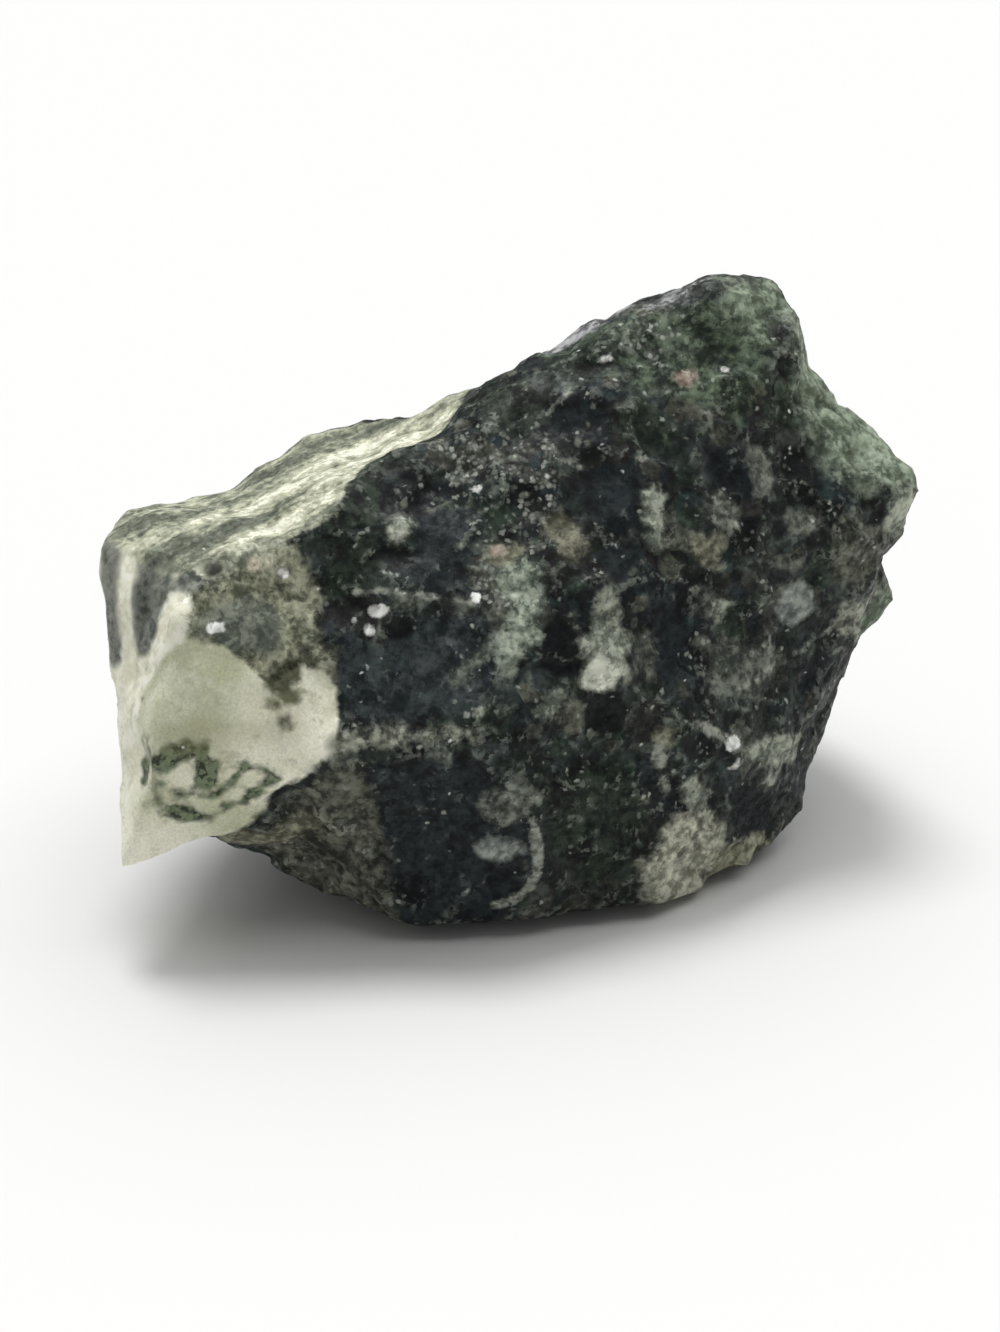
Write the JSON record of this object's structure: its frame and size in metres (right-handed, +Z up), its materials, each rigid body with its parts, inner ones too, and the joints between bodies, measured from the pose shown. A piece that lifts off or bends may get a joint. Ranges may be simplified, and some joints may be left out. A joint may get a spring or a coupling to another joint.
{
  "type": "raw serpentine stone",
  "caption": "Rough, hand-size raw serpentine: one dark broken stone with a pale streaked top and a pale lobe at its left end, at rest on a small flat.",
  "frame": {"origin": "on the ground under the stone, on the flat face that it rests on", "axes": "+X along the stone, from its pale end to its dark end; +Y from its front, the side in the picture, to its back; +Z up"},
  "size_m": [0.0584, 0.0402, 0.041],
  "materials": {
    "stone": "broken and slightly waxy, dark green-black with pale olive parts"
  },
  "bodies": {
    "root": {"stone": "stone"}
  },
  "joints": []
}
